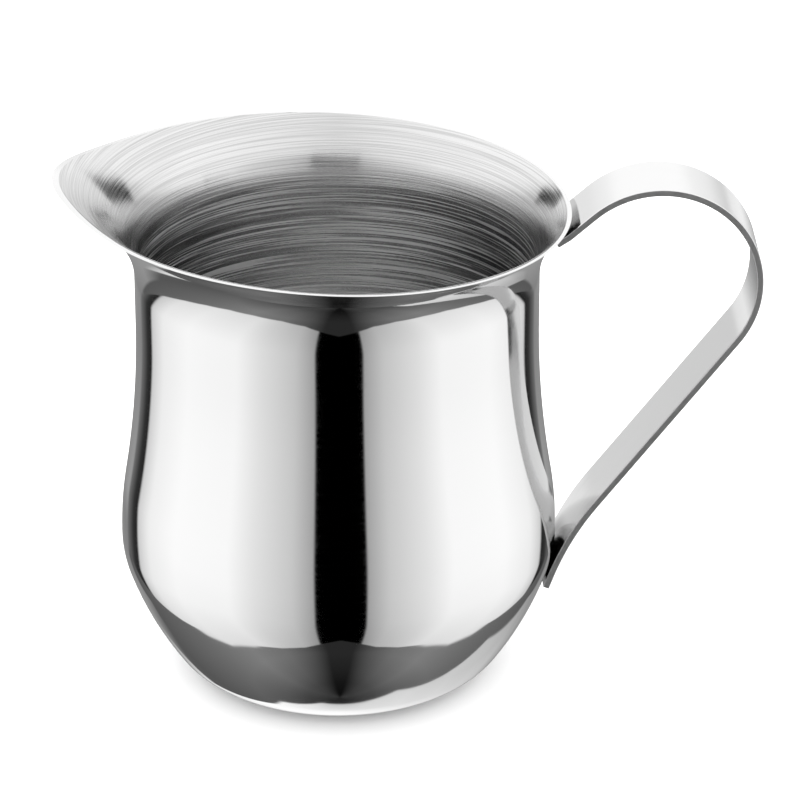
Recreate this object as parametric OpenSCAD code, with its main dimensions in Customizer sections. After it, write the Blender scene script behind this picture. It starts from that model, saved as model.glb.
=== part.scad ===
// Small cream jug in polished stainless steel: a bell-shaped drawn shell with a
// pulled pouring lip and a bent strap handle welded under the rim and low on the belly.
// Origin at the centre of the flat base, +Z up, +X towards the handle, lip at -X. Millimetres.

/* [Shell] */
// Largest outside radius, at the belly
belly_r = 28.5; // [24:0.1:36]
// Height of the widest part above the base
belly_h = 19; // [16:0.1:23]
// Outside radius of the neck
neck_r = 26; // [22:0.1:28]
// Height at which the neck becomes straight
neck_h = 48.6; // [40:0.1:54]
// Height at which the neck starts to flare
flare_h = 55.5; // [55:0.1:58]
// Sheet thickness
wall = 0.5; // [0.4:0.05:0.8]

/* [Lower body curves] */
// Radius of the bottom corner
corner_r = 8; // [6:0.1:10]
// Radius of the long curve between the corner and the belly
flank_r = 46; // [40:1:60]
// Radius of the belly itself, below its widest line
bulge_r = 13; // [10:0.1:16]
// Angle from straight down at which the long curve meets the belly curve
bulge_start = 71.5; // [68:0.5:74]
// Radius of the convex curve above the belly
shoulder_r = 50; // [30:1:80]

/* [Rim and lip] */
// Radius of the round part of the rim
rim_r = 30; // [29:0.1:36]
// Height of the rim above the base, halfway between the handle and the lip
rim_h = 65.3; // [63:0.1:80]
// Rise of the rim towards the lip, per millimetre along the jug
rim_slope = 0.05; // [0:0.01:0.1]
// How steeply the flare turns out; higher is flatter at the rim
flare_angle = 49; // [40:1:60]
// How far the throat of the lip widens the rim
throat_out = 3.95; // [2:0.05:6]
// How gathered the throat is; higher is narrower
throat_power = 4.5; // [3:0.5:8]
// How far the nose of the lip stands out beyond the throat
nose_out = 2.2; // [1:0.1:4]
// How sharp the nose is; higher is narrower
nose_power = 40; // [20:1:60]
// How far the nose is lifted above the sloping rim
nose_lift = 1.8; // [0:0.1:3]
// How narrow the lifted part of the rim is; higher is narrower
lift_power = 25; // [10:1:40]

/* [Handle] */
// Width of the strap
strap_w = 9.8; // [8:0.1:14]
// Thickness of the strap
strap_t = 0.85; // [0.6:0.05:1.2]
// Outer radius of the arch
arch_r = 13.3; // [11:0.1:18]
// Length of the straight that leads up to the arch; longer lifts the handle out and up
lead_len = 4; // [2:0.1:12]
// How far the upper end is tucked in, as a share of the flare's width
tuck_share = 0.6; // [0.4:0.05:0.8]
// How much less than the flare at the rim the tucked end slopes
tuck_clear = 6.5; // [4:0.5:20]
// Length of the straight tucked end
tuck_len = 1.6; // [1:0.1:3]
// Radius of the bend just outside the rim
tuck_bend_r = 3; // [2:0.1:4]
// Turn of the bend just outside the rim
tuck_turn = 8.5; // [0:0.5:20]
// Height of the lower weld above the base
foot_h = 13.6; // [11:0.1:16]
// Length of strap below the lower weld
foot_len = 2; // [1.6:0.1:3]
// Radius of the bend above the lower weld, as a share of the gentlest that still meets the arch
foot_bend_share = 0.5; // [0.2:0.05:0.95]

/* [Welds] */
// Space between the strap and the shell where they meet
weld_gap = 0.05; // [0.02:0.01:0.1]
// How far a weld is fused into the shell and into the strap
weld_depth = 0.25; // [0.15:0.05:0.3]
// Diameter of the lower spot weld
spot_d = 2.6; // [1.6:0.1:3]
// Radius of the upper weld bead
bead_r = 0.45; // [0.35:0.05:0.5]
// Length of the upper weld bead across the strap
bead_len = 5; // [3:0.5:7]

/* [Hidden] */

steel = "#c9cbcd";
weld_steel = "#9b9c9e";

arc_step = 4;       // degrees between points on the profile and strap arcs
turned_sides = 128; // facets round a turned surface in the preview
weld_sides = 32;    // the same for a weld
flare_columns = 96; // points round the flare
flare_rows = 12;    // rows up the flare
lap = 1.5;          // how far the flare reaches down inside the wall of the neck
inset = 0.02;       // how far that lap stands inside both skins of the wall
tiny = 0.01;        // step in degrees or in share, for finding a direction on the flare

// ---- plane geometry -------------------------------------------------------

function heading(a) = [cos(a), sin(a)];
function left_of(v) = [-v.y, v.x];
function reversed(list) = [for (i = [len(list) - 1:-1:0]) list[i]];

// Points on an arc, from angle a0 to angle a1.
function arc(centre, r, a0, a1) =
    let (n = max(2, ceil(abs(a1 - a0) / arc_step)))
    [for (i = [0:n]) centre + r * heading(a0 + (a1 - a0) * i / n)];

// Heading of the line that leaves a right-hand circle and joins a left-hand one.
function crossing_heading(from_c, from_r, to_c, to_r) =
    let (d = to_c - from_c,
         reach = from_r + to_r,
         run = sqrt(d * d - reach * reach))
    atan2(d.y, d.x) - atan2(reach, run);

// Radius of the circle that starts at a point, bends towards the side that normal gives
// and just touches another circle.
function touching_radius(start, normal, other_c, other_r) =
    let (d = other_c - start)
    (d * d - other_r * other_r) / (2 * (other_r + normal * d));

// ---- shell profile --------------------------------------------------------

down = -90;
flank_c = [belly_r - bulge_r, belly_h] - (flank_r - bulge_r) * heading(down + bulge_start);
corner_end = acos((flank_c.y - corner_r) / (flank_r - corner_r));
corner_c = flank_c + (flank_r - corner_r) * heading(down + corner_end);
base_r = corner_c.x;

waist_turn = 2 * atan((belly_r - neck_r) / (neck_h - belly_h));
waist_r = (neck_h - belly_h) / sin(waist_turn) - shoulder_r;

// Outline of the body from the base's edge up to the flare, set in from the outer skin.
function profile(set_in) = concat(
    arc(corner_c, corner_r - set_in, down, down + corner_end),
    arc(flank_c, flank_r - set_in, down + corner_end, down + bulge_start),
    arc([belly_r - bulge_r, belly_h], bulge_r - set_in, down + bulge_start, 0),
    arc([belly_r - shoulder_r, belly_h], shoulder_r - set_in, 0, waist_turn),
    arc([neck_r + waist_r, neck_h], waist_r + set_in, 180 + waist_turn, 180),
    [[neck_r - set_in, flare_h]]
);

// ---- flare, rim and lip ---------------------------------------------------

// Angle 0 is the handle side and 180 is the lip.
function lip_share(a) = pow(sin(a / 2), 2);
function rim_radius(a) = rim_r + throat_out * pow(lip_share(a), throat_power)
    + nose_out * pow(lip_share(a), nose_power);
function rim_height(a) = rim_h - rim_slope * rim_radius(a) * cos(a)
    + nose_lift * pow(lip_share(a), lift_power);

// Outer skin of the flare at angle a, from the neck at t = 0 to the rim at t = 1.
function flare_radius(a, t) = neck_r
    + (rim_radius(a) - neck_r) * (1 - cos(flare_angle * t)) / (1 - cos(flare_angle));
function flare_height(a, t) = flare_h
    + (rim_height(a) - flare_h) * sin(flare_angle * t) / sin(flare_angle);
function flare_point(a, t) =
    [flare_radius(a, t) * cos(a), flare_radius(a, t) * sin(a), flare_height(a, t)];

// Direction from the outer skin through the sheet to the inner skin.
function flare_inward(a, t) =
    let (around = flare_point(a + tiny, t) - flare_point(a - tiny, t),
         up = flare_point(a, t + tiny) - flare_point(a, t - tiny),
         n = cross(up, around))
    n / norm(n);

// A point of the flare's wall, depth in from the outer skin. Near the neck the wall
// narrows a little, so that its lap stays inside the wall below.
function flare_skin(a, t, depth) =
    let (squeeze = inset * (1 - t) * (depth > 0 ? -1 : 1))
    flare_point(a, t) + (depth + squeeze) * flare_inward(a, t);

function flare_ring(row, depth) = [for (i = [0:flare_columns - 1])
    let (a = 360 * i / flare_columns)
    row < 0
        ? [for (k = [0:1]) flare_skin(a, 0, depth)[k], 0] + [0, 0, flare_h - lap]
        : flare_skin(a, row / flare_rows, depth)];

// Inner edge of the rim at angle a. The rim is trimmed level, so this edge is as high as
// the outer one, and the cut is wider than the sheet is thick.
function rim_inner(a) =
    let (n = flare_inward(a, 1), sideways = [n.x, n.y, 0])
    flare_point(a, 1) + wall / (sideways * sideways) * sideways;

// Rings run up the outer skin, over the rim and down the inner skin.
flare_rings = concat(
    [for (row = [-1:flare_rows]) flare_ring(row, 0)],
    [[for (i = [0:flare_columns - 1]) rim_inner(360 * i / flare_columns)]],
    [for (row = [flare_rows - 1:-1:-1]) flare_ring(row, wall)]
);

module flare_wall() {
    rings = len(flare_rings);
    n = flare_columns;
    points = [for (ring = flare_rings) for (p = ring) p];
    faces = [for (j = [0:rings - 1]) for (i = [0:n - 1])
        let (k = (j + 1) % rings,
             i2 = (i + 1) % n,
             here = j * n + i, beside = j * n + i2,
             above = k * n + i, corner = k * n + i2)
        each [[here, above, beside], [beside, above, corner]]];
    polyhedron(points, faces, convexity = 6);
}

// ---- strap path -----------------------------------------------------------

// Upper end: its top corner sits under the flare, and the strap leaves it more gently
// than the flare does, so that it passes clear below the rim.
tuck_r = rim_r - tuck_share * (rim_r - neck_r);
tuck_t = acos(1 - (tuck_r - neck_r) / (rim_r - neck_r) * (1 - cos(flare_angle))) / flare_angle;
tuck_corner = let (p = flare_point(0, tuck_t) - weld_gap * flare_inward(0, tuck_t)) [p.x, p.z];
rim_lean = let (n = flare_inward(0, 1)) atan2(-n.x, n.z);
tuck_heading = 180 + rim_lean - tuck_clear;
lead_heading = tuck_heading + tuck_turn;
tuck_mid = tuck_corner + strap_t / 2 * left_of(heading(tuck_heading));
tuck_bend_c = tuck_mid - tuck_len * heading(tuck_heading)
    - tuck_bend_r * left_of(heading(tuck_heading));

arch_mid_r = arch_r - strap_t / 2;
arch_c = tuck_bend_c + (tuck_bend_r + arch_mid_r) * left_of(heading(lead_heading))
    - lead_len * heading(lead_heading);

// Lower end: the strap lies against the flank at the height of the lower weld.
foot_normal = down + acos((flank_c.y - foot_h) / flank_r);
foot_contact = flank_c + flank_r * heading(foot_normal);
foot_mid = foot_contact + (weld_gap + strap_t / 2) * heading(foot_normal);
foot_bend_r = foot_bend_share * touching_radius(foot_mid, heading(foot_normal), arch_c, arch_mid_r);
foot_bend_c = foot_mid + foot_bend_r * heading(foot_normal);
run_heading = crossing_heading(foot_bend_c, foot_bend_r, arch_c, arch_mid_r);

// One side of the strap, from the foot to the tucked end; side is how far it lies
// to the right of the middle line.
function strap_side(side) = concat(
    [foot_mid + side * heading(foot_normal) - foot_len * left_of(heading(foot_normal))],
    arc(foot_bend_c, foot_bend_r - side, 180 + foot_normal, 90 + run_heading),
    arc(arch_c, arch_mid_r + side, run_heading - 90, lead_heading - 90),
    arc(tuck_bend_c, tuck_bend_r - side, lead_heading + 90, tuck_heading + 90),
    [tuck_mid - side * left_of(heading(tuck_heading))]
);

// ---- welds ----------------------------------------------------------------

// The bead lies in the corner between the strap's top face and the flare.
bead_back = 0.5; // how far the bead's centre is from the strap's end
bead_c = tuck_corner - bead_back * heading(tuck_heading);

module place_foot_weld() {
    translate([foot_contact.x, 0, foot_contact.y])
        rotate([0, 90 - foot_normal, 0])
            children();
}

module bead_solid() {
    translate([bead_c.x, 0, bead_c.y])
        rotate([90, 0, 0])
            cylinder(r = bead_r, h = bead_len, center = true, $fn = weld_sides);
}

module spot_solid() {
    place_foot_weld()
        translate([0, 0, -weld_depth])
            cylinder(d = spot_d, h = 2 * weld_depth + weld_gap, $fn = weld_sides);
}

// ---- sub-parts ------------------------------------------------------------

module body_shell() {
    color(steel)
        difference() {
            union() {
                rotate_extrude($fn = turned_sides)
                    polygon(concat([[0, 0]], profile(0), reversed(profile(wall)), [[0, wall]]));
                flare_wall();
            }
            bead_solid();
            spot_solid();
        }
}

module handle_strap() {
    color(steel)
        difference() {
            rotate([90, 0, 0])
                linear_extrude(strap_w, center = true)
                    polygon(concat(strap_side(strap_t / 2), reversed(strap_side(-strap_t / 2))));
            bead_solid();
            spot_solid();
        }
}

module upper_weld_bead() {
    color(weld_steel) bead_solid();
}

module lower_spot_weld() {
    color(weld_steel) spot_solid();
}

body_shell();
handle_strap();
upper_weld_bead();
lower_spot_weld();
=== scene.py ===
"""The look of a small stainless steel cream jug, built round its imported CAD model."""

import math

import bpy
from bpy.props import FloatProperty, FloatVectorProperty, IntProperty, PointerProperty, StringProperty
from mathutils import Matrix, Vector


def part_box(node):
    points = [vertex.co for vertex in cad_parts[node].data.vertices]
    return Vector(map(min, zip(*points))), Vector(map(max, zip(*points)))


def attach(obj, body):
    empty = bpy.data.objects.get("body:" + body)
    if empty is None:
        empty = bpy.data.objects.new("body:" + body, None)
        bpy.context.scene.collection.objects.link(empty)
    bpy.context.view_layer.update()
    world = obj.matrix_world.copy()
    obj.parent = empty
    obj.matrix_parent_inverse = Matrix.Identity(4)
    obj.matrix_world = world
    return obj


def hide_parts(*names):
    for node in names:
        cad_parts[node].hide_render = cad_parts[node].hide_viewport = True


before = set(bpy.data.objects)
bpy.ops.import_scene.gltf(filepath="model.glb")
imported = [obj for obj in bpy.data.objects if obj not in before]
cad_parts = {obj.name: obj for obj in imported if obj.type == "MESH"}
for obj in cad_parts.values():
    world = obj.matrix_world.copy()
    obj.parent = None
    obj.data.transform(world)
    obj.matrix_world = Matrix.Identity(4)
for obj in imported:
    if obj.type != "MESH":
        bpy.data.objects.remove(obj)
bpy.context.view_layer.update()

bl_info = {
    "name": "Steel Cream Jug",
    "version": (1, 0, 0),
    "blender": (4, 5, 0),
    "location": "3D View > Sidebar > Cream Jug",
    "description": "Builds a polished steel cream jug and its small studio",
    "category": "Add Mesh",
}

MM = 0.001
BODY = "root"

STRAP_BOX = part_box("handle_strap")
STRAP_THICKNESS = 0.85 * MM

# Points nearer to each other than this are one point.
TOUCHING = 0.001 * MM

# Faces that meet at less than this many degrees are shaded as one curve.
SMOOTH_ANGLE = 50

# A direction sees the white sheet on the table where it lies within all of these sides.
SHEET_SIDES = ((0, 1, 0.08), (0.92, 1, 0), (1, 0.14, -0.22), (-1.15, 1, -0.24), (-1, 0, -0.68))


# ---- plane geometry: points are (outwards, up) in metres, angles in degrees ------------


def heading(angle):
    """The unit vector at an angle, anticlockwise from outwards."""
    return Vector((math.cos(math.radians(angle)), math.sin(math.radians(angle))))


def left_of(direction):
    return Vector((-direction.y, direction.x))


def arc(centre, radius, start, end, step):
    """Points on an arc from angle start to angle end, no more than step degrees apart."""
    count = max(2, math.ceil(abs(end - start) / step))
    return [centre + radius * heading(start + (end - start) * i / count) for i in range(count + 1)]


def straight(start, end, step):
    """Points from start to end, no more than step metres apart, without start itself."""
    count = max(1, math.ceil((end - start).length / step))
    return [start.lerp(end, i / count) for i in range(1, count + 1)]


# ---- the shell's form -----------------------------------------------------------------


def body_profile(shell):
    """The outer skin from the centre of the base up to where the flare starts."""
    down = -90
    belly_c = Vector((shell.belly_r - shell.bulge_r, shell.belly_h))
    flank_c = belly_c - (shell.flank_r - shell.bulge_r) * heading(down + shell.bulge_start)
    corner_end = math.degrees(
        math.acos((flank_c.y - shell.corner_r) / (shell.flank_r - shell.corner_r))
    )
    corner_c = flank_c + (shell.flank_r - shell.corner_r) * heading(down + corner_end)
    rise = shell.neck_h - shell.belly_h
    waist_turn = math.degrees(2 * math.atan((shell.belly_r - shell.neck_r) / rise))
    waist_r = rise / math.sin(math.radians(waist_turn)) - shell.shoulder_r
    shoulder_c = Vector((shell.belly_r - shell.shoulder_r, shell.belly_h))
    waist_c = Vector((shell.neck_r + waist_r, shell.neck_h))
    neck_top = Vector((shell.neck_r, shell.flare_h))

    points = [Vector((0, 0))]
    points += straight(points[-1], Vector((corner_c.x, 0)), 4 * MM)
    points += arc(corner_c, shell.corner_r, down, down + corner_end, 3)[1:]
    points += arc(flank_c, shell.flank_r, down + corner_end, down + shell.bulge_start, 2)[1:]
    points += arc(belly_c, shell.bulge_r, down + shell.bulge_start, 0, 2)[1:]
    points += arc(shoulder_c, shell.shoulder_r, 0, waist_turn, 0.7)[1:]
    points += arc(waist_c, waist_r, 180 + waist_turn, 180, 0.7)[1:]
    points += straight(points[-1], neck_top, 1 * MM)
    return points


def rim_radius(shell, angle):
    """Radius of the rim; the handle is at angle 0 and the lip at 180."""
    lip = math.sin(math.radians(angle / 2)) ** 2
    throat = shell.throat_out * lip**shell.throat_power
    return shell.rim_r + throat + shell.nose_out * lip**shell.nose_power


def rim_height(shell, angle):
    lip = math.sin(math.radians(angle / 2)) ** 2
    slope = shell.rim_slope * rim_radius(shell, angle) * math.cos(math.radians(angle))
    return shell.rim_h - slope + shell.nose_lift * lip**shell.lift_power


def flare_profile(shell, angle, share):
    """(outwards, up) on the flare's outer skin, from the neck at share 0 to the rim at 1."""
    turn = math.radians(shell.flare_angle)
    out = (rim_radius(shell, angle) - shell.neck_r) * (1 - math.cos(turn * share))
    up = (rim_height(shell, angle) - shell.flare_h) * math.sin(turn * share)
    return Vector((shell.neck_r + out / (1 - math.cos(turn)), shell.flare_h + up / math.sin(turn)))


# ---- the strap's path -----------------------------------------------------------------


def strap_path(shell, strap):
    """The strap's middle line, from its foot on the flank to the end tucked under the flare."""
    thickness = STRAP_THICKNESS
    foot_normal = -90 + math.degrees(math.acos((flank_centre(shell).y - strap.foot_h) / shell.flank_r))
    out = heading(foot_normal)
    foot = flank_centre(shell) + (shell.flank_r + strap.weld_gap + thickness / 2) * out

    tuck_share = math.degrees(
        math.acos(1 - (1 - strap.tuck_share) * (1 - math.cos(math.radians(shell.flare_angle))))
    ) / shell.flare_angle
    corner = flare_profile(shell, 0, tuck_share)
    flare_lean = flare_profile(shell, 0, tuck_share + 0.01) - flare_profile(shell, 0, tuck_share - 0.01)
    corner = corner - strap.weld_gap * left_of(flare_lean.normalized())
    rim_run = flare_profile(shell, 0, 1.01) - flare_profile(shell, 0, 0.99)
    tuck_heading = 180 + math.degrees(math.atan2(rim_run.y, rim_run.x)) - strap.tuck_clear
    lead_heading = tuck_heading + strap.tuck_turn
    tuck_end = corner + thickness / 2 * left_of(heading(tuck_heading))
    tuck_bend_c = (
        tuck_end
        - strap.tuck_len * heading(tuck_heading)
        - strap.tuck_bend_r * left_of(heading(tuck_heading))
    )

    arch_r = strap.arch_r - thickness / 2
    arch_c = (
        tuck_bend_c
        + (strap.tuck_bend_r + arch_r) * left_of(heading(lead_heading))
        - strap.lead_len * heading(lead_heading)
    )

    across = arch_c - foot
    touching_r = (across.length_squared - arch_r**2) / (2 * (arch_r + out.dot(across)))
    bend_r = strap.foot_bend_share * touching_r
    bend_c = foot + bend_r * out
    apart = arch_c - bend_c
    reach = bend_r + arch_r
    run = math.sqrt(apart.length_squared - reach**2)
    run_heading = math.degrees(math.atan2(apart.y, apart.x) - math.atan2(reach, run))

    points = [foot - strap.foot_len * left_of(out)]
    points += straight(points[-1], foot, 1 * MM)
    points += arc(bend_c, bend_r, 180 + foot_normal, 90 + run_heading, 1.5)[1:]
    arch = arc(arch_c, arch_r, run_heading - 90, lead_heading - 90, 2.5)
    points += straight(points[-1], arch[0], 1 * MM)
    points += arch[1:]
    tuck = arc(tuck_bend_c, strap.tuck_bend_r, lead_heading + 90, tuck_heading + 90, 2)
    points += straight(points[-1], tuck[0], 1 * MM)
    points += tuck[1:]
    points += straight(points[-1], tuck_end, 0.5 * MM)
    return points


def flank_centre(shell):
    belly_c = Vector((shell.belly_r - shell.bulge_r, shell.belly_h))
    return belly_c - (shell.flank_r - shell.bulge_r) * heading(-90 + shell.bulge_start)


# ---- modelling helpers ----------------------------------------------------------------


def draw_line(name, points):
    """A new object with one chain of edges through the points, drawn from its first point."""
    bpy.ops.object.select_all(action="DESELECT")
    start = points[0]
    bpy.ops.mesh.primitive_circle_add(vertices=3, radius=MM, location=(0, 0, 0), enter_editmode=True)
    bpy.ops.mesh.select_all(action="SELECT")
    bpy.ops.mesh.merge(type="CENTER")
    bpy.ops.transform.translate(value=start)
    for here, there in zip(points, points[1:]):
        bpy.ops.mesh.extrude_region_move(TRANSFORM_OT_translate={"value": there - here})
    bpy.ops.mesh.select_all(action="SELECT")
    piece = bpy.context.object
    piece.name = name
    piece.data.name = name
    return piece


def flip_faces():
    """Turns an open sheet's faces the other way round."""
    bpy.ops.object.mode_set(mode="EDIT")
    bpy.ops.mesh.select_all(action="SELECT")
    bpy.ops.mesh.flip_normals()
    bpy.ops.object.mode_set(mode="OBJECT")


def apply_modifier(piece, kind, **settings):
    modifier = piece.modifiers.new(kind.title(), kind)
    for name, value in settings.items():
        setattr(modifier, name, value)
    bpy.ops.object.modifier_apply(modifier=modifier.name)


def finish_piece(piece, replaced):
    bpy.ops.object.shade_smooth_by_angle(angle=math.radians(SMOOTH_ANGLE))
    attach(piece, BODY)
    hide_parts(replaced)


# ---- materials ------------------------------------------------------------------------


def linear(hex_colour):
    """An sRGB hex colour as linear RGBA."""
    channels = [int(hex_colour[i : i + 2], 16) / 255 for i in (1, 3, 5)]
    return [c / 12.92 if c <= 0.04045 else ((c + 0.055) / 1.055) ** 2.4 for c in channels] + [1.0]


def add_node(tree, kind, settings=None, inputs=None, stops=()):
    """Adds a node. An input's value is a socket to link or a value to set, and the stops of a
    colour ramp are (place, grey)."""
    node = tree.nodes.new(kind)
    for index, (place, grey) in enumerate(stops):
        elements = node.color_ramp.elements
        element = elements[index] if index < len(elements) else elements.new(place)
        element.position = place
        element.color = (grey, grey, grey, 1)
    for name, value in (settings or {}).items():
        setattr(node, name, value)
    for name, value in (inputs or {}).items():
        socket = node.inputs[name]
        if isinstance(value, bpy.types.NodeSocket):
            tree.links.new(value, socket)
        else:
            socket.default_value = value
    return node


def new_material(name):
    material = bpy.data.materials.new(name)
    material.use_nodes = True
    material.node_tree.nodes.clear()
    return material, material.node_tree


def lathe_vector(tree, along, around):
    """A pattern vector for lines that run round the jug's axis: along is lines per metre up the
    wall and around is how fast they change on the way round."""
    place = add_node(tree, "ShaderNodeTexCoord").outputs["Object"]
    split = add_node(tree, "ShaderNodeSeparateXYZ", None, {0: place})
    flat = add_node(tree, "ShaderNodeCombineXYZ", None, {0: split.outputs[0], 1: split.outputs[1]})
    radius = add_node(tree, "ShaderNodeVectorMath", {"operation": "LENGTH"}, {0: flat.outputs[0]})
    turn = add_node(tree, "ShaderNodeVectorMath", {"operation": "NORMALIZE"}, {0: flat.outputs[0]})
    wall = add_node(
        tree, "ShaderNodeMath", {"operation": "ADD"}, {0: radius.outputs["Value"], 1: split.outputs[2]}
    )
    height = add_node(tree, "ShaderNodeMath", {"operation": "MULTIPLY"}, {0: wall.outputs[0], 1: along})
    up = add_node(tree, "ShaderNodeCombineXYZ", None, {2: height.outputs[0]})
    spread = add_node(
        tree, "ShaderNodeVectorMath", {"operation": "SCALE"}, {0: turn.outputs[0], "Scale": around}
    )
    return add_node(
        tree, "ShaderNodeVectorMath", {"operation": "ADD"}, {0: spread.outputs[0], 1: up.outputs[0]}
    ).outputs[0]


def mirror_steel(finish):
    """18/8 stainless steel, buffed to a mirror: a clean neutral reflection with a trace of haze
    and of the shallow waves that spinning leaves."""
    material, tree = new_material("stainless_steel_mirror_buffed")
    place = add_node(tree, "ShaderNodeTexCoord").outputs["Object"]
    waves = add_node(
        tree,
        "ShaderNodeTexNoise",
        None,
        {"Vector": place, "Scale": 1 / (9 * MM), "Detail": 1.0, "Roughness": 0.4},
    )
    buffing = add_node(
        tree,
        "ShaderNodeTexNoise",
        None,
        {"Vector": lathe_vector(tree, 1 / (0.35 * MM), 3.0), "Scale": 1.0, "Detail": 3.0},
    )
    haze = add_node(
        tree,
        "ShaderNodeMapRange",
        None,
        {"Value": buffing.outputs["Fac"], 1: 0.3, 2: 0.75, 3: 0.035, 4: 0.075},
    )
    bump = add_node(
        tree,
        "ShaderNodeBump",
        None,
        {"Strength": 0.5, "Distance": 0.004 * MM, "Height": waves.outputs["Fac"]},
    )
    shader = add_node(
        tree,
        "ShaderNodeBsdfPrincipled",
        None,
        {
            "Base Color": linear(finish.steel),
            "Metallic": 1.0,
            "Roughness": haze.outputs["Result"],
            "Normal": bump.outputs["Normal"],
        },
    )
    add_node(tree, "ShaderNodeOutputMaterial", None, {"Surface": shader.outputs[0]})
    return material


def brushed_steel(finish):
    """18/8 stainless steel, brushed on the lathe with grit: lines round the axis that smear every
    reflection up and down the wall. Real grit lines are nearer 0.05 mm apart, which is too fine
    to show, so they are drawn coarser."""
    material, tree = new_material("stainless_steel_lathe_brushed")
    fine = add_node(
        tree,
        "ShaderNodeTexNoise",
        None,
        {
            "Vector": lathe_vector(tree, 1 / finish.fine_line, 1.0),
            "Scale": 1.0,
            "Detail": 2.0,
            "Roughness": 0.6,
        },
    )
    coarse = add_node(
        tree,
        "ShaderNodeTexNoise",
        None,
        {
            "Vector": lathe_vector(tree, 1 / finish.wide_line, 0.8),
            "Scale": 1.0,
            "Detail": 2.0,
            "Roughness": 0.6,
        },
    )
    lines = add_node(
        tree,
        "ShaderNodeMix",
        {"data_type": "FLOAT"},
        {"Factor": 0.25, 2: fine.outputs["Fac"], 3: coarse.outputs["Fac"]},
    )
    # The grit is coarser down in the neck and belly than on the flare.
    place = add_node(tree, "ShaderNodeTexCoord").outputs["Object"]
    up = add_node(tree, "ShaderNodeSeparateXYZ", None, {0: place}).outputs[2]
    coarser = add_node(
        tree, "ShaderNodeMapRange", None, {"Value": up, 1: finish.brush_change, 2: finish.brush_changed}
    ).outputs[0]
    torn = add_node(tree, "ShaderNodeMapRange", None, {"Value": lines.outputs[0], 1: 0.42, 2: 0.68})
    torn = add_node(tree, "ShaderNodeMath", {"operation": "MULTIPLY"}, {0: torn.outputs[0], 1: coarser})
    grain = add_node(
        tree, "ShaderNodeMapRange", None, {"Value": lines.outputs[0], 1: 0.35, 2: 0.65, 3: 0.1, 4: 0.17}
    )
    grain = add_node(
        tree,
        "ShaderNodeMath",
        {"operation": "MULTIPLY_ADD"},
        {0: torn.outputs[0], 1: 0.35, 2: grain.outputs[0]},
    )
    # Darker where the fine lines are low: painted shade at the bottoms of the brush lines, laid into the
    # base colour.
    shade = add_node(tree, "ShaderNodeMapRange", None, {"Value": fine.outputs["Fac"], 1: 0.35, 2: 0.6})
    steel = add_node(
        tree,
        "ShaderNodeMix",
        {"data_type": "RGBA"},
        {"Factor": shade.outputs[0], 6: linear(finish.groove_shade), 7: linear(finish.brushed)},
    )
    depth = add_node(tree, "ShaderNodeMapRange", None, {"Value": coarser, 3: 0.02 * MM, 4: 0.08 * MM})
    relief = add_node(
        tree, "ShaderNodeMath", {"operation": "MULTIPLY"}, {0: lines.outputs[0], 1: depth.outputs[0]}
    )
    bump = add_node(tree, "ShaderNodeBump", None, {"Distance": 1.0, "Height": relief.outputs[0]})
    tangent = add_node(tree, "ShaderNodeTangent", {"direction_type": "UV_MAP", "uv_map": "turned"})
    shader = add_node(
        tree,
        "ShaderNodeBsdfPrincipled",
        None,
        {
            "Base Color": steel.outputs[2],
            "Metallic": 1.0,
            "Roughness": grain.outputs[0],
            "Anisotropic": 0.97,
            "Anisotropic Rotation": 0.25,
            "Tangent": tangent.outputs[0],
            "Normal": bump.outputs["Normal"],
        },
    )
    add_node(tree, "ShaderNodeOutputMaterial", None, {"Surface": shader.outputs[0]})
    return material


def edge_steel(finish):
    """18/8 stainless steel, trimmed and linished: a bright, slightly grainy cut edge."""
    material, tree = new_material("stainless_steel_linished_edge")
    place = add_node(tree, "ShaderNodeTexCoord").outputs["Object"]
    grit = add_node(
        tree,
        "ShaderNodeTexNoise",
        None,
        {"Vector": place, "Scale": 1 / (0.2 * MM), "Detail": 3.0},
    )
    grain = add_node(
        tree, "ShaderNodeMapRange", None, {"Value": grit.outputs["Fac"], 1: 0.3, 2: 0.7, 3: 0.12, 4: 0.2}
    )
    shader = add_node(
        tree,
        "ShaderNodeBsdfPrincipled",
        None,
        {"Base Color": linear(finish.rim), "Metallic": 1.0, "Roughness": grain.outputs["Result"]},
    )
    add_node(tree, "ShaderNodeOutputMaterial", None, {"Surface": shader.outputs[0]})
    return material


def strap_steel(finish):
    """18/8 stainless steel strip, cold rolled and buffed: bright, with a little of the strip's
    grain left along its length."""
    material, tree = new_material("stainless_steel_buffed_strip")
    place = add_node(tree, "ShaderNodeTexCoord").outputs["Object"]
    along = add_node(
        tree,
        "ShaderNodeMapping",
        None,
        {"Vector": place, "Scale": (1 / (6 * MM), 1 / (0.25 * MM), 1 / (6 * MM))},
    )
    lines = add_node(
        tree, "ShaderNodeTexNoise", None, {"Vector": along.outputs[0], "Scale": 1.0, "Detail": 3.0}
    )
    haze = add_node(
        tree, "ShaderNodeMapRange", None, {"Value": lines.outputs["Fac"], 1: 0.3, 2: 0.7, 3: 0.08, 4: 0.16}
    )
    bump = add_node(
        tree,
        "ShaderNodeBump",
        None,
        {"Strength": 0.4, "Distance": 0.004 * MM, "Height": lines.outputs["Fac"]},
    )
    shader = add_node(
        tree,
        "ShaderNodeBsdfPrincipled",
        None,
        {
            "Base Color": linear(finish.steel),
            "Metallic": 1.0,
            "Roughness": haze.outputs["Result"],
            "Normal": bump.outputs["Normal"],
        },
    )
    add_node(tree, "ShaderNodeOutputMaterial", None, {"Surface": shader.outputs[0]})
    return material


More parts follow.
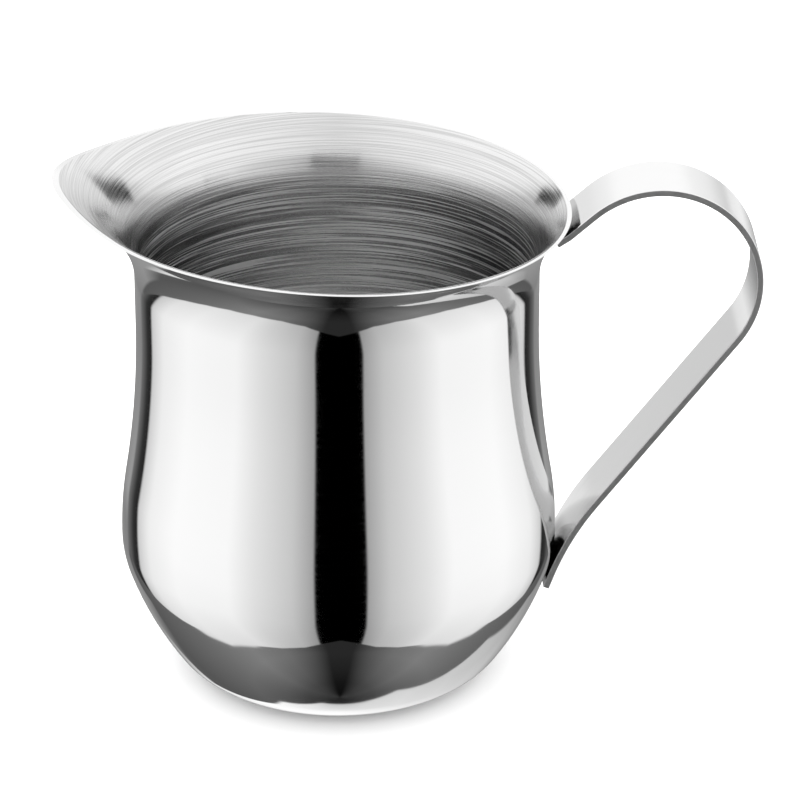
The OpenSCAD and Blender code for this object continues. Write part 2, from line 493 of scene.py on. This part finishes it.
def sheared_steel(finish):
    """The same strip where the shears cut it: darker and rougher than its faces."""
    material, tree = new_material("stainless_steel_sheared_edge")
    place = add_node(tree, "ShaderNodeTexCoord").outputs["Object"]
    tear = add_node(
        tree, "ShaderNodeTexNoise", None, {"Vector": place, "Scale": 1 / (0.3 * MM), "Detail": 4.0}
    )
    grain = add_node(
        tree, "ShaderNodeMapRange", None, {"Value": tear.outputs["Fac"], 1: 0.3, 2: 0.7, 3: 0.32, 4: 0.42}
    )
    bump = add_node(
        tree, "ShaderNodeBump", None, {"Strength": 0.5, "Distance": 0.01 * MM, "Height": tear.outputs["Fac"]}
    )
    shader = add_node(
        tree,
        "ShaderNodeBsdfPrincipled",
        None,
        {
            "Base Color": linear(finish.edge),
            "Metallic": 1.0,
            "Roughness": grain.outputs["Result"],
            "Normal": bump.outputs["Normal"],
        },
    )
    add_node(tree, "ShaderNodeOutputMaterial", None, {"Surface": shader.outputs[0]})
    return material


def weld_steel(finish):
    """Stainless steel fused by a spot or bead weld: dull grey, rippled, with heat tint left."""
    material, tree = new_material("stainless_steel_weld")
    place = add_node(tree, "ShaderNodeTexCoord").outputs["Object"]
    ripple = add_node(
        tree, "ShaderNodeTexNoise", None, {"Vector": place, "Scale": 1 / (0.5 * MM), "Detail": 3.0}
    )
    tint = add_node(
        tree,
        "ShaderNodeMix",
        {"data_type": "RGBA"},
        {"Factor": ripple.outputs["Fac"], 6: linear(finish.weld), 7: linear(finish.heat_tint)},
    )
    bump = add_node(
        tree,
        "ShaderNodeBump",
        None,
        {"Strength": 0.6, "Distance": 0.05 * MM, "Height": ripple.outputs["Fac"]},
    )
    shader = add_node(
        tree,
        "ShaderNodeBsdfPrincipled",
        None,
        {
            "Base Color": tint.outputs[2],
            "Metallic": 1.0,
            "Roughness": 0.5,
            "Normal": bump.outputs["Normal"],
        },
    )
    add_node(tree, "ShaderNodeOutputMaterial", None, {"Surface": shader.outputs[0]})
    return material


def matt_floor(stage):
    """White laminate, matt: takes a soft contact shadow and nothing else."""
    material, tree = new_material("white_laminate_matt")
    place = add_node(tree, "ShaderNodeTexCoord").outputs["Object"]
    mottle = add_node(
        tree, "ShaderNodeTexNoise", None, {"Vector": place, "Scale": 1 / (40 * MM), "Detail": 2.0}
    )
    shade = add_node(
        tree,
        "ShaderNodeMix",
        {"data_type": "RGBA"},
        {"Factor": mottle.outputs["Fac"], 6: linear(stage.floor), 7: linear(stage.floor_mottle)},
    )
    shader = add_node(
        tree,
        "ShaderNodeBsdfPrincipled",
        None,
        {"Base Color": shade.outputs[2], "Roughness": 0.8, "Specular IOR Level": 0.2},
    )
    add_node(tree, "ShaderNodeOutputMaterial", None, {"Surface": shader.outputs[0]})
    return material


# ---- settings -------------------------------------------------------------------------


def length(name, description, millimetres):
    return FloatProperty(
        name=name, description=description, default=millimetres * MM, unit="LENGTH", precision=5
    )


def number(name, description, value):
    return FloatProperty(name=name, description=description, default=value)


def colour(name, description, value):
    return StringProperty(name=name, description=description, default=value)


class JugShellSettings(bpy.types.PropertyGroup):
    belly_r: length("Belly radius", "Largest outside radius, at the belly", 28.5)
    belly_h: length("Belly height", "Height of the widest part above the base", 19)
    neck_r: length("Neck radius", "Outside radius of the neck", 26)
    neck_h: length("Neck height", "Height at which the neck becomes straight", 48.6)
    flare_h: length("Flare height", "Height at which the neck starts to flare", 55.5)
    wall: length("Wall", "Sheet thickness", 0.5)
    corner_r: length("Corner radius", "Radius of the bottom corner", 8)
    flank_r: length("Flank radius", "Radius of the long curve between the corner and the belly", 46)
    bulge_r: length("Bulge radius", "Radius of the belly below its widest line", 13)
    bulge_start: number("Bulge start", "Degrees from straight down at which the bulge starts", 71.5)
    shoulder_r: length("Shoulder radius", "Radius of the convex curve above the belly", 50)
    rim_r: length("Rim radius", "Radius of the round part of the rim", 30)
    rim_h: length("Rim height", "Height of the rim halfway between the handle and the lip", 65.3)
    rim_slope: number("Rim slope", "Rise of the rim towards the lip, per length along the jug", 0.05)
    flare_angle: number("Flare angle", "How far the flare turns out, in degrees", 49)
    throat_out: length("Throat", "How far the throat of the lip widens the rim", 3.95)
    throat_power: number("Throat gather", "Higher is a narrower throat", 4.5)
    nose_out: length("Nose", "How far the nose of the lip stands out beyond the throat", 2.2)
    nose_power: number("Nose gather", "Higher is a narrower nose", 40)
    nose_lift: length("Nose lift", "How far the nose is lifted above the sloping rim", 1.8)
    lift_power: number("Lift gather", "Higher lifts a narrower part of the rim", 25)
    edge_round: length("Edge rounding", "Rounding of the trimmed rim", 0.12)
    columns: IntProperty(name="Columns", description="Facets round the jug", default=256)
    flare_rows: IntProperty(name="Flare rows", description="Rows up the flare", default=28)


class JugStrapSettings(bpy.types.PropertyGroup):
    arch_r: length("Arch radius", "Outer radius of the arch", 13.3)
    lead_len: length("Lead length", "Straight that leads up to the arch", 4)
    tuck_share: number("Tuck share", "How far in under the flare the upper end reaches", 0.6)
    tuck_clear: number("Tuck clearance", "Degrees by which the tucked end slopes less than the rim", 6.5)
    tuck_len: length("Tuck length", "Length of the straight tucked end", 1.6)
    tuck_bend_r: length("Tuck bend", "Radius of the bend just outside the rim", 3)
    tuck_turn: number("Tuck turn", "Turn of that bend in degrees", 8.5)
    foot_h: length("Foot height", "Height of the lower weld", 13.6)
    foot_len: length("Foot length", "Length of strap below the lower weld", 2)
    foot_bend_share: number("Foot bend", "Share of the gentlest bend that still meets the arch", 0.5)
    weld_gap: length("Weld gap", "Space between the strap and the shell", 0.05)
    edge_round: length("Edge rounding", "Rounding of the sheared edges", 0.12)


class JugFinishSettings(bpy.types.PropertyGroup):
    steel: colour("Steel", "Buffed stainless steel, sRGB hex", "#d3d3d3")
    brushed: colour("Brushed steel", "Brushed stainless steel, sRGB hex", "#cdcdcd")
    # Painted shade: a darker grey for the bottoms of the brush lines, standing in for the shade in their
    # grooves.
    groove_shade: colour("Scratched steel", "The bottom of a brush line, sRGB hex", "#b2b2b2")
    fine_line: length("Fine lines", "Spacing of the finer brush lines", 0.25)
    wide_line: length("Wide lines", "Spacing of the wider brush lines", 0.9)
    brush_change: length("Brushing changes from", "Height below which the brushing gets coarser", 60)
    brush_changed: length("Brushing changed at", "Height below which the brushing is all coarse", 55)
    rim: colour("Rim steel", "Linished stainless steel, sRGB hex", "#d4d4d4")
    edge: colour("Edge steel", "Sheared stainless steel, sRGB hex", "#c9c9c9")
    weld: colour("Weld", "Fused stainless steel, sRGB hex", "#9b9a98")
    heat_tint: colour("Heat tint", "Straw tint beside a weld, sRGB hex", "#8d8574")


class JugStageSettings(bpy.types.PropertyGroup):
    azimuth: number("Azimuth", "Degrees of the camera round the jug", -1.72)
    elevation: number("Elevation", "Degrees of the camera above level", 25.5)
    distance: length("Distance", "From the camera to the middle of the view", 578.5)
    target: FloatVectorProperty(
        name="Target",
        description="Middle of the view",
        default=(8.06 * MM, -0.24 * MM, 37.05 * MM),
        unit="LENGTH",
    )
    lens: number("Lens", "Focal length in millimetres", 200.25)
    floor: colour("Floor", "White laminate, sRGB hex", "#f4f4f4")
    floor_mottle: colour("Floor mottle", "Slightly greyer laminate, sRGB hex", "#f0f0f0")
    room_light: number("Room light", "Strength of the surround that the steel sees", 1.55)
    plain_light: number("Plain light", "Strength of the plain white that lights the floor", 2.6)


# ---- the surround ---------------------------------------------------------------------
#
# What the steel sees, by direction. Each part takes the direction and gives its grey: turn is
# how far round from straight ahead it is, to either side, and rise is how far up.


def turned(degrees):
    """A turn away from straight ahead, as a share of half a turn."""
    return degrees / 180


def raised(degrees):
    """A height above level, as a share of the way from straight down to straight up."""
    return 0.5 + degrees / 180


def turn_and_rise(tree, way):
    x, y, z = add_node(tree, "ShaderNodeSeparateXYZ", None, {0: way}).outputs
    sideways = add_node(tree, "ShaderNodeMath", {"operation": "ABSOLUTE"}, {0: x}).outputs[0]
    forwards = add_node(tree, "ShaderNodeMath", {"operation": "MULTIPLY"}, {0: y, 1: -1}).outputs[0]
    turn = add_node(tree, "ShaderNodeMath", {"operation": "ARCTAN2"}, {0: sideways, 1: forwards})
    turn = add_node(tree, "ShaderNodeMapRange", None, {"Value": turn.outputs[0], 2: math.pi})
    rise = add_node(tree, "ShaderNodeMath", {"operation": "ARCSINE"}, {0: z}).outputs[0]
    rise = add_node(tree, "ShaderNodeMapRange", None, {"Value": rise, 1: -math.pi / 2, 2: math.pi / 2})
    return turn.outputs[0], rise.outputs[0]


def round_and_up(tree, turn, rise, around, up):
    """A grey that is the product of one set of stops by degrees round and one by degrees up."""
    stops = [(turned(degrees), grey) for degrees, grey in around]
    by_turn = add_node(tree, "ShaderNodeValToRGB", None, {"Fac": turn}, stops)
    stops = [(raised(degrees), grey) for degrees, grey in up]
    by_rise = add_node(tree, "ShaderNodeValToRGB", None, {"Fac": rise}, stops)
    return add_node(
        tree,
        "ShaderNodeMix",
        {"data_type": "RGBA", "blend_type": "MULTIPLY"},
        {"Factor": 1, 6: by_turn.outputs[0], 7: by_rise.outputs[0]},
    ).outputs[2]


def laid_over(tree, cover, under, over):
    """The grey of over where cover is 1, and that of under where it is 0."""
    mix = add_node(tree, "ShaderNodeMix", {"data_type": "RGBA"}, {"Factor": cover, 6: under, 7: over})
    return mix.outputs[2]


def walls_on_table(tree, turn, rise):
    """Two tall light walls left and right, with a dark slot in front and dark strips behind,
    standing over a grey table that is darkest straight below and in front."""
    around = [(13, 0), (14, 0.36), (25, 0.57), (45, 0.76), (60, 0.95), (95, 0.98), (118, 0.86)]
    around += [(131, 0.6), (133.5, 0.015), (139, 0.03), (150, 0.15)]
    up = [(-65, 0.7), (-45, 0.82), (-20, 0.97), (0, 1)]
    walls = round_and_up(tree, turn, rise, around, up)
    around = [(10, 0.1), (25, 0.4), (45, 0.75), (75, 1), (110, 0.7), (150, 0.4)]
    up = [(-87, 0.04), (-81, 0.07), (-75, 0.13), (-66, 0.2)]
    table = round_and_up(tree, turn, rise, around, up)

    # The walls' lower edge, in degrees up for degrees round.
    foot = [(0, -47), (12, -52), (25, -58), (45, -61), (70, -60.5), (90, -58), (105, -53)]
    foot += [(118, -46.5), (131, -38), (145, -27)]
    stops = [(turned(degrees), raised(up)) for degrees, up in foot]
    edge = add_node(tree, "ShaderNodeValToRGB", None, {"Fac": turn}, stops).outputs[0]
    above = add_node(tree, "ShaderNodeMath", {"operation": "SUBTRACT"}, {0: rise, 1: edge}).outputs[0]
    above = add_node(tree, "ShaderNodeMapRange", None, {"Value": above, 1: -0.003, 2: 0.003})
    return laid_over(tree, above.outputs[0], table, walls)


def white_sheet(tree, way, rise):
    """The sheet that lies on the table behind the jug, darker towards the handle side: where it
    is seen, and its grey."""
    x, _, z = add_node(tree, "ShaderNodeSeparateXYZ", None, {0: way}).outputs
    cover = add_node(tree, "ShaderNodeMapRange", None, {"Value": z, 1: -0.55, 2: -0.6}).outputs[0]
    for side in SHEET_SIDES:
        inside = add_node(tree, "ShaderNodeVectorMath", {"operation": "DOT_PRODUCT"}, {0: way, 1: side})
        inside = add_node(
            tree, "ShaderNodeMapRange", None, {"Value": inside.outputs["Value"], 1: -0.01, 2: 0.01}
        ).outputs[0]
        cover = add_node(tree, "ShaderNodeMath", {"operation": "MULTIPLY"}, {0: cover, 1: inside}).outputs[0]
    up = [(-88, 0.45), (-80, 0.75), (-70, 0.9), (-58, 0.9), (-48, 0.75), (-38, 0.5)]
    stops = [(raised(degrees), grey) for degrees, grey in up]
    sheet = add_node(tree, "ShaderNodeValToRGB", None, {"Fac": rise}, stops).outputs[0]
    dim = add_node(tree, "ShaderNodeMapRange", None, {"Value": x, 1: 0, 2: 0.4, 3: 1, 4: 0.62}).outputs[0]
    sheet = add_node(
        tree,
        "ShaderNodeMix",
        {"data_type": "RGBA", "blend_type": "MULTIPLY"},
        {"Factor": 1, 6: sheet, 7: dim},
    ).outputs[2]
    return cover, sheet


def backdrop(tree, turn, rise):
    """The backdrop, grey low down and white above: where it is seen, and its grey."""
    up = [(-38, 0.25), (-25, 0.18), (-19, 0.4), (-12, 0.72), (-5, 0.7), (-1, 0.54), (8, 0.75), (25, 0.9)]
    stops = [(raised(degrees), grey) for degrees, grey in up]
    grey = add_node(tree, "ShaderNodeValToRGB", None, {"Fac": rise}, stops).outputs[0]
    behind = add_node(
        tree, "ShaderNodeMapRange", None, {"Value": turn, 1: turned(148.5), 2: turned(151.5)}
    ).outputs[0]
    standing = add_node(
        tree, "ShaderNodeMapRange", None, {"Value": rise, 1: raised(-42), 2: raised(-34)}
    ).outputs[0]
    cover = add_node(tree, "ShaderNodeMath", {"operation": "MULTIPLY"}, {0: behind, 1: standing})
    return cover.outputs[0], grey


def ceiling(tree, turn, rise):
    """The ceiling, a little darker in front: where it is seen, and its grey."""
    around = [(0, 0.8), (40, 0.9), (90, 0.97), (150, 0.92)]
    stops = [(turned(degrees), grey) for degrees, grey in around]
    grey = add_node(tree, "ShaderNodeValToRGB", None, {"Fac": turn}, stops).outputs[0]
    cover = add_node(tree, "ShaderNodeMapRange", None, {"Value": rise, 1: raised(15), 2: raised(19)})
    return cover.outputs[0], grey


# ---- pieces ---------------------------------------------------------------------------


class JUG_OT_shell(bpy.types.Operator):
    """Spins the shell from its profile, pulls out the lip and gives the sheet its thickness"""

    bl_idname = "jug.shell"
    bl_label = "Shell"

    def execute(self, context):
        shell = context.scene.jug_shell
        finish = context.scene.jug_finish
        flare = [flare_profile(shell, 0, i / shell.flare_rows) for i in range(1, shell.flare_rows + 1)]
        profile = body_profile(shell) + flare
        piece = draw_line("drawn_shell", [Vector((p.x, 0, p.y)) for p in profile])
        bpy.ops.mesh.spin(
            steps=shell.columns, angle=math.tau, center=(0, 0, 0), axis=(0, 0, 1), use_auto_merge=True
        )
        bpy.ops.mesh.select_all(action="SELECT")
        bpy.ops.mesh.remove_doubles(threshold=TOUCHING)
        bpy.ops.mesh.normals_make_consistent(inside=False)
        bpy.ops.object.mode_set(mode="OBJECT")
        base = min(piece.data.polygons, key=lambda face: face.center.z)
        if base.normal.z > 0:
            flip_faces()
        self.pull_lip(piece, shell)
        self.unwrap_turned(piece, shell)
        for material in (mirror_steel(finish), brushed_steel(finish), edge_steel(finish)):
            piece.data.materials.append(material)
        apply_modifier(
            piece,
            "SOLIDIFY",
            thickness=shell.wall,
            offset=-1,
            use_even_offset=True,
            use_quality_normals=True,
            material_offset=1,
            material_offset_rim=2,
        )
        self.trim_rim(piece)
        bpy.ops.object.shade_smooth()
        apply_modifier(
            piece,
            "BEVEL",
            width=shell.edge_round,
            segments=3,
            limit_method="ANGLE",
            angle_limit=math.radians(30),
            harden_normals=True,
            material=2,
        )
        finish_piece(piece, "body_shell")
        return {"FINISHED"}

    def pull_lip(self, piece, shell):
        """Moves each vertex of the round flare to its place on the flare with the lip pulled out."""
        turn = math.radians(shell.flare_angle)
        for vertex in piece.data.vertices:
            if vertex.co.z <= shell.flare_h + 0.01 * MM:
                continue
            radius = math.hypot(vertex.co.x, vertex.co.y)
            widened = (radius - shell.neck_r) / (rim_radius(shell, 0) - shell.neck_r)
            share = math.acos(1 - min(1, widened) * (1 - math.cos(turn))) / turn
            angle = math.degrees(math.atan2(vertex.co.y, vertex.co.x))
            out, up = flare_profile(shell, angle, share)
            vertex.co = (out * vertex.co.x / radius, out * vertex.co.y / radius, up)

    def trim_rim(self, piece):
        """Cuts the rim level: each inner point moves along the inner skin to its outer point's height."""
        vertices = piece.data.vertices
        moves = {}
        for face in piece.data.polygons:
            if face.material_index != 2:
                continue
            ends = sorted(face.vertices, key=lambda index: vertices[index].co.z)
            for outer in ends[:2]:
                inner = min(ends[2:], key=lambda index: (vertices[index].co - vertices[outer].co).length)
                through = vertices[inner].co - vertices[outer].co
                level = Vector((through.x, through.y, 0))
                moves[inner] = vertices[outer].co + level * through.length_squared / level.length_squared
        for index, place in moves.items():
            vertices[index].co = place

    def unwrap_turned(self, piece, shell):
        """A UV map whose U runs round the axis, for the direction of the brushing."""
        mesh = piece.data
        layer = mesh.uv_layers.new(name="turned")
        for face in mesh.polygons:
            middle = math.atan2(face.center.y, face.center.x)
            for loop in face.loop_indices:
                place = mesh.vertices[mesh.loops[loop].vertex_index].co
                radius = math.hypot(place.x, place.y)
                angle = math.atan2(place.y, place.x) if radius > 0.01 * MM else middle
                angle = middle + math.remainder(angle - middle, math.tau)
                layer.data[loop].uv = (angle / math.tau, (radius + place.z) / (100 * MM))


class JUG_OT_strap(bpy.types.Operator):
    """Bends the strap handle from flat strip, with sheared edges and ends"""

    bl_idname = "jug.strap"
    bl_label = "Strap handle"

    def execute(self, context):
        shell = context.scene.jug_shell
        strap = context.scene.jug_strap
        finish = context.scene.jug_finish
        width = STRAP_BOX[1].y - STRAP_BOX[0].y
        path = strap_path(shell, strap)
        piece = draw_line("bent_strap", [Vector((p.x, -width / 2, p.y)) for p in path])
        strips = 8
        for _ in range(strips):
            bpy.ops.mesh.extrude_region_move(TRANSFORM_OT_translate={"value": (0, width / strips, 0)})
        bpy.ops.mesh.select_all(action="SELECT")
        bpy.ops.mesh.normals_make_consistent(inside=False)
        bpy.ops.object.mode_set(mode="OBJECT")
        for material in (strap_steel(finish), sheared_steel(finish)):
            piece.data.materials.append(material)
        apply_modifier(
            piece,
            "SOLIDIFY",
            thickness=STRAP_THICKNESS,
            offset=0,
            use_even_offset=True,
            material_offset_rim=1,
        )
        bpy.ops.object.shade_smooth()
        apply_modifier(
            piece,
            "BEVEL",
            width=strap.edge_round,
            segments=3,
            limit_method="ANGLE",
            angle_limit=math.radians(60),
            harden_normals=True,
        )
        finish_piece(piece, "handle_strap")
        return {"FINISHED"}


class JUG_OT_welds(bpy.types.Operator):
    """Gives the two welds their fused steel"""

    bl_idname = "jug.welds"
    bl_label = "Welds"

    def execute(self, context):
        material = weld_steel(context.scene.jug_finish)
        for name in ("upper_weld_bead", "lower_spot_weld"):
            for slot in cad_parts[name].material_slots:
                slot.material = material
        return {"FINISHED"}


class JUG_OT_stage(bpy.types.Operator):
    """Lays the floor and sets the surround of light and the camera"""

    bl_idname = "jug.stage"
    bl_label = "Studio"

    def execute(self, context):
        stage = context.scene.jug_stage
        self.lay_floor(stage)
        self.surround(context.scene, stage)
        self.place_camera(context.scene, stage)
        return {"FINISHED"}

    def lay_floor(self, stage):
        bpy.ops.object.select_all(action="DESELECT")
        bpy.ops.mesh.primitive_plane_add(size=6, location=(0, 0, 0))
        floor = bpy.context.object
        floor.name = "studio_floor"
        floor.data.materials.append(matt_floor(stage))
        # The steel sees the surround below the horizon, as it would over a glass table.
        floor.visible_glossy = False

    def surround(self, scene, stage):
        """The steel sees the surround, and the floor and the camera see plain white."""
        world = bpy.data.worlds.new("studio_surround")
        scene.world = world
        world.use_nodes = True
        tree = world.node_tree
        tree.nodes.clear()
        way = add_node(tree, "ShaderNodeTexCoord").outputs["Generated"]
        turn, rise = turn_and_rise(tree, way)
        seen = walls_on_table(tree, turn, rise)
        for cover, grey in (
            white_sheet(tree, way, rise),
            backdrop(tree, turn, rise),
            ceiling(tree, turn, rise),
        ):
            seen = laid_over(tree, cover, seen, grey)
        ray = add_node(tree, "ShaderNodeLightPath").outputs
        plain = add_node(
            tree,
            "ShaderNodeMath",
            {"operation": "MAXIMUM"},
            {0: ray["Is Camera Ray"], 1: ray["Is Diffuse Ray"]},
        )
        room = add_node(tree, "ShaderNodeBackground", None, {"Color": seen, "Strength": stage.room_light})
        white = add_node(
            tree, "ShaderNodeBackground", None, {"Color": (1, 1, 1, 1), "Strength": stage.plain_light}
        )
        both = add_node(
            tree, "ShaderNodeMixShader", None, {0: plain.outputs[0], 1: room.outputs[0], 2: white.outputs[0]}
        )
        add_node(tree, "ShaderNodeOutputWorld", None, {"Surface": both.outputs[0]})
        scene.view_settings.view_transform = "Standard"

    def place_camera(self, scene, stage):
        lens = bpy.data.cameras.new("studio_camera")
        lens.lens = stage.lens
        lens.sensor_width = 36
        lens.clip_start = 0.01
        lens.clip_end = 20
        camera = bpy.data.objects.new("studio_camera", lens)
        scene.collection.objects.link(camera)
        azimuth, elevation = math.radians(stage.azimuth), math.radians(stage.elevation)
        back = Vector(
            (
                math.sin(azimuth) * math.cos(elevation),
                -math.cos(azimuth) * math.cos(elevation),
                math.sin(elevation),
            )
        )
        camera.location = Vector(stage.target) + stage.distance * back
        camera.rotation_euler = back.to_track_quat("Z", "Y").to_euler()
        scene.camera = camera


class JUG_PT_panel(bpy.types.Panel):
    """The jug's settings and the buttons that build it"""

    bl_idname = "JUG_PT_panel"
    bl_label = "Cream Jug"
    bl_space_type = "VIEW_3D"
    bl_region_type = "UI"
    bl_category = "Cream Jug"

    def draw(self, context):
        layout = self.layout
        for name, operator in (
            ("jug_shell", JUG_OT_shell),
            ("jug_strap", JUG_OT_strap),
            ("jug_finish", JUG_OT_welds),
            ("jug_stage", JUG_OT_stage),
        ):
            box = layout.box()
            group = getattr(context.scene, name)
            for key in group.bl_rna.properties.keys():
                if key not in ("rna_type", "name"):
                    box.prop(group, key)
            box.operator(operator.bl_idname)


CLASSES = (
    JugShellSettings,
    JugStrapSettings,
    JugFinishSettings,
    JugStageSettings,
    JUG_OT_shell,
    JUG_OT_strap,
    JUG_OT_welds,
    JUG_OT_stage,
    JUG_PT_panel,
)

GROUPS = {
    "jug_shell": JugShellSettings,
    "jug_strap": JugStrapSettings,
    "jug_finish": JugFinishSettings,
    "jug_stage": JugStageSettings,
}


def register():
    for cls in CLASSES:
        bpy.utils.register_class(cls)
    for name, group in GROUPS.items():
        setattr(bpy.types.Scene, name, PointerProperty(type=group))


def unregister():
    for name in GROUPS:
        delattr(bpy.types.Scene, name)
    for cls in reversed(CLASSES):
        bpy.utils.unregister_class(cls)


def main():
    register()
    bpy.ops.jug.shell()
    bpy.ops.jug.strap()
    bpy.ops.jug.welds()
    bpy.ops.jug.stage()


if __name__ == "__main__":
    main()
